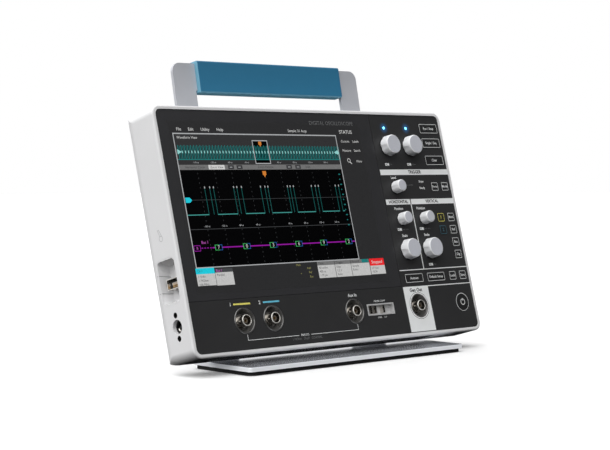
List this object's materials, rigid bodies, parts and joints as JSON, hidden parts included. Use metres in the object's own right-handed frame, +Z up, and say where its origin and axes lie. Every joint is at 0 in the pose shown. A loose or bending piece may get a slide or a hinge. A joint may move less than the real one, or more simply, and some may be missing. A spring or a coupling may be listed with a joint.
{
  "type": "oscilloscope",
  "caption": "Thin bench oscilloscope with touch display, control panel with knobs and buttons, coaxial jacks, tilting foot and carry handle.",
  "frame": {"origin": "on the table, at the centre of the foot's main rectangle", "axes": "+X to the user's right, +Y away from the user, +Z up; the panel faces -Y and leans back 15.5 degrees"},
  "size_m": [0.344, 0.13, 0.2595],
  "materials": {
    "case_white": "fine satin texture",
    "panel_black": "satin",
    "touch_glass": "smooth dark glass over the display",
    "lcd_black": "gloss",
    "chassis_steel": "satin",
    "board_green": "solder mask",
    "part_black": "matte",
    "lamp_blue": "clear lens lit blue",
    "cup_grey": "satin",
    "jack_nickel": "nickel plate",
    "insulator_white": "matte",
    "contact_gold": "gold plate",
    "terminal_grey": "satin",
    "screw_steel": "zinc plate",
    "hinge_black": "satin",
    "frame_aluminium": "fine satin",
    "foot_aluminium": "fine satin",
    "grip_blue": "satin",
    "mat_rubber": "matte",
    "knob_grey": "fine satin",
    "key_black": "satin"
  },
  "bodies": {
    "stand": {"base_plate": "foot_aluminium", "base_mat": "mat_rubber", "hinge_blocks": "hinge_black", "hinge_pins": "screw_steel"},
    "instrument": {"housing": "case_white", "rear_cover": "case_white", "rear_cover_screws": "screw_steel", "front_panel": "panel_black", "touch_glass": "touch_glass", "lcd_module": "lcd_black", "chassis_plate": "chassis_steel", "main_board": "board_green", "ui_board": "board_green", "encoder_bodies": "part_black", "tact_switches": "part_black", "light_guides": "lamp_blue", "jack_cups": "cup_grey", "bnc_shells": "jack_nickel", "bnc_insulators": "insulator_white", "bnc_contacts": "contact_gold", "probe_comp_block": "terminal_grey", "probe_comp_tabs": "jack_nickel", "side_port_block": "case_white", "port_shell": "jack_nickel", "dc_jack": "part_black", "wedge_spacer": "hinge_black", "handle_frame": "frame_aluminium", "grip": "grip_blue", "bracket_screws": "screw_steel", "arm_knuckles": "hinge_black"},
    "rotor_a": {"encoder_rotor_a": "part_black"},
    "dial_a": {"knob_a": "knob_grey"},
    "rotor_b": {"encoder_rotor_b": "part_black"},
    "dial_b": {"knob_b": "knob_grey"},
    "rotor_trigger_level": {"encoder_rotor_trigger_level": "part_black"},
    "dial_trigger_level": {"knob_trigger_level": "knob_grey"},
    "rotor_horizontal_position": {"encoder_rotor_horizontal_position": "part_black"},
    "dial_horizontal_position": {"knob_horizontal_position": "knob_grey"},
    "rotor_vertical_position": {"encoder_rotor_vertical_position": "part_black"},
    "dial_vertical_position": {"knob_vertical_position": "knob_grey"},
    "rotor_horizontal_scale": {"encoder_rotor_horizontal_scale": "part_black"},
    "dial_horizontal_scale": {"knob_horizontal_scale": "knob_grey"},
    "rotor_vertical_scale": {"encoder_rotor_vertical_scale": "part_black"},
    "dial_vertical_scale": {"knob_vertical_scale": "knob_grey"},
    "run_stop_key": {"run_stop_button": "key_black"},
    "single_key": {"single_button": "key_black"},
    "clear_key": {"clear_button": "key_black"},
    "trigger_force_key": {"trigger_force_button": "key_black"},
    "trigger_mode_key": {"trigger_mode_button": "key_black"},
    "channel_1_key": {"channel_1_button": "key_black"},
    "channel_2_key": {"channel_2_button": "key_black"},
    "math_key": {"math_button": "key_black"},
    "reference_key": {"reference_button": "key_black"},
    "bus_key": {"bus_button": "key_black"},
    "digital_key": {"digital_button": "key_black"},
    "autoset_key": {"autoset_button": "key_black"},
    "default_setup_key": {"default_setup_button": "key_black"},
    "touch_lock_key": {"touch_lock_button": "key_black"},
    "save_key": {"save_button": "key_black"},
    "power_key": {"power_button": "key_black"}
  },
  "joints": [
    {"name": "tilt", "type": "hinge", "parent": "stand", "child": "instrument", "pos_m": [0, 0.04606, 0.015], "axis": [-1, 0, 0], "range_deg": [0, 14]},
    {"name": "a_turn", "type": "hinge", "parent": "instrument", "child": "rotor_a", "pos_m": [0.094, 0.02663, 0.186], "axis": [0, -0.9636, 0.2672], "continuous": true},
    {"name": "a_push", "type": "slide", "parent": "rotor_a", "child": "dial_a", "axis": [0, 0.9636, -0.2672], "range_m": [0, 0.0005], "stiffness_N_per_m": 1500},
    {"name": "b_turn", "type": "hinge", "parent": "instrument", "child": "rotor_b", "pos_m": [0.1232, 0.02663, 0.186], "axis": [0, -0.9636, 0.2672], "continuous": true},
    {"name": "b_push", "type": "slide", "parent": "rotor_b", "child": "dial_b", "axis": [0, 0.9636, -0.2672], "range_m": [0, 0.0005], "stiffness_N_per_m": 1500},
    {"name": "trigger_level_turn", "type": "hinge", "parent": "instrument", "child": "rotor_trigger_level", "pos_m": [0.0937, 0.01619, 0.14832], "axis": [0, -0.9636, 0.2672], "continuous": true},
    {"name": "trigger_level_push", "type": "slide", "parent": "rotor_trigger_level", "child": "dial_trigger_level", "axis": [0, 0.9636, -0.2672], "range_m": [0, 0.0005], "stiffness_N_per_m": 1500},
    {"name": "horizontal_position_turn", "type": "hinge", "parent": "instrument", "child": "rotor_horizontal_position", "pos_m": [0.0937, 0.00825, 0.1197], "axis": [0, -0.9636, 0.2672], "continuous": true},
    {"name": "horizontal_position_push", "type": "slide", "parent": "rotor_horizontal_position", "child": "dial_horizontal_position", "axis": [0, 0.9636, -0.2672], "range_m": [0, 0.0005], "stiffness_N_per_m": 1500},
    {"name": "vertical_position_turn", "type": "hinge", "parent": "instrument", "child": "rotor_vertical_position", "pos_m": [0.1232, 0.00825, 0.1197], "axis": [0, -0.9636, 0.2672], "continuous": true},
    {"name": "vertical_position_push", "type": "slide", "parent": "rotor_vertical_position", "child": "dial_vertical_position", "axis": [0, 0.9636, -0.2672], "range_m": [0, 0.0005], "stiffness_N_per_m": 1500},
    {"name": "horizontal_scale_turn", "type": "hinge", "parent": "instrument", "child": "rotor_horizontal_scale", "pos_m": [0.094, 0.0006, 0.09214], "axis": [0, -0.9636, 0.2672], "continuous": true},
    {"name": "horizontal_scale_push", "type": "slide", "parent": "rotor_horizontal_scale", "child": "dial_horizontal_scale", "axis": [0, 0.9636, -0.2672], "range_m": [0, 0.0005], "stiffness_N_per_m": 1500},
    {"name": "vertical_scale_turn", "type": "hinge", "parent": "instrument", "child": "rotor_vertical_scale", "pos_m": [0.1232, 0.0006, 0.09214], "axis": [0, -0.9636, 0.2672], "continuous": true},
    {"name": "vertical_scale_push", "type": "slide", "parent": "rotor_vertical_scale", "child": "dial_vertical_scale", "axis": [0, 0.9636, -0.2672], "range_m": [0, 0.0005], "stiffness_N_per_m": 1500},
    {"name": "run_stop_press", "type": "slide", "parent": "instrument", "child": "run_stop_key", "axis": [0, 0.9636, -0.2672], "range_m": [0, 0.0005], "stiffness_N_per_m": 1000},
    {"name": "single_press", "type": "slide", "parent": "instrument", "child": "single_key", "axis": [0, 0.9636, -0.2672], "range_m": [0, 0.0005], "stiffness_N_per_m": 1000},
    {"name": "clear_press", "type": "slide", "parent": "instrument", "child": "clear_key", "axis": [0, 0.9636, -0.2672], "range_m": [0, 0.0005], "stiffness_N_per_m": 1000},
    {"name": "trigger_force_press", "type": "slide", "parent": "instrument", "child": "trigger_force_key", "axis": [0, 0.9636, -0.2672], "range_m": [0, 0.0005], "stiffness_N_per_m": 1000},
    {"name": "trigger_mode_press", "type": "slide", "parent": "instrument", "child": "trigger_mode_key", "axis": [0, 0.9636, -0.2672], "range_m": [0, 0.0005], "stiffness_N_per_m": 1000},
    {"name": "channel_1_press", "type": "slide", "parent": "instrument", "child": "channel_1_key", "axis": [0, 0.9636, -0.2672], "range_m": [0, 0.0005], "stiffness_N_per_m": 1000},
    {"name": "channel_2_press", "type": "slide", "parent": "instrument", "child": "channel_2_key", "axis": [0, 0.9636, -0.2672], "range_m": [0, 0.0005], "stiffness_N_per_m": 1000},
    {"name": "math_press", "type": "slide", "parent": "instrument", "child": "math_key", "axis": [0, 0.9636, -0.2672], "range_m": [0, 0.0005], "stiffness_N_per_m": 1000},
    {"name": "reference_press", "type": "slide", "parent": "instrument", "child": "reference_key", "axis": [0, 0.9636, -0.2672], "range_m": [0, 0.0005], "stiffness_N_per_m": 1000},
    {"name": "bus_press", "type": "slide", "parent": "instrument", "child": "bus_key", "axis": [0, 0.9636, -0.2672], "range_m": [0, 0.0005], "stiffness_N_per_m": 1000},
    {"name": "digital_press", "type": "slide", "parent": "instrument", "child": "digital_key", "axis": [0, 0.9636, -0.2672], "range_m": [0, 0.0005], "stiffness_N_per_m": 1000},
    {"name": "autoset_press", "type": "slide", "parent": "instrument", "child": "autoset_key", "axis": [0, 0.9636, -0.2672], "range_m": [0, 0.0005], "stiffness_N_per_m": 1000},
    {"name": "default_setup_press", "type": "slide", "parent": "instrument", "child": "default_setup_key", "axis": [0, 0.9636, -0.2672], "range_m": [0, 0.0005], "stiffness_N_per_m": 1000},
    {"name": "touch_lock_press", "type": "slide", "parent": "instrument", "child": "touch_lock_key", "axis": [0, 0.9636, -0.2672], "range_m": [0, 0.0005], "stiffness_N_per_m": 1000},
    {"name": "save_press", "type": "slide", "parent": "instrument", "child": "save_key", "axis": [0, 0.9636, -0.2672], "range_m": [0, 0.0005], "stiffness_N_per_m": 1000},
    {"name": "power_press", "type": "slide", "parent": "instrument", "child": "power_key", "axis": [0, 0.9636, -0.2672], "range_m": [0, 0.0005], "stiffness_N_per_m": 1000}
  ]
}
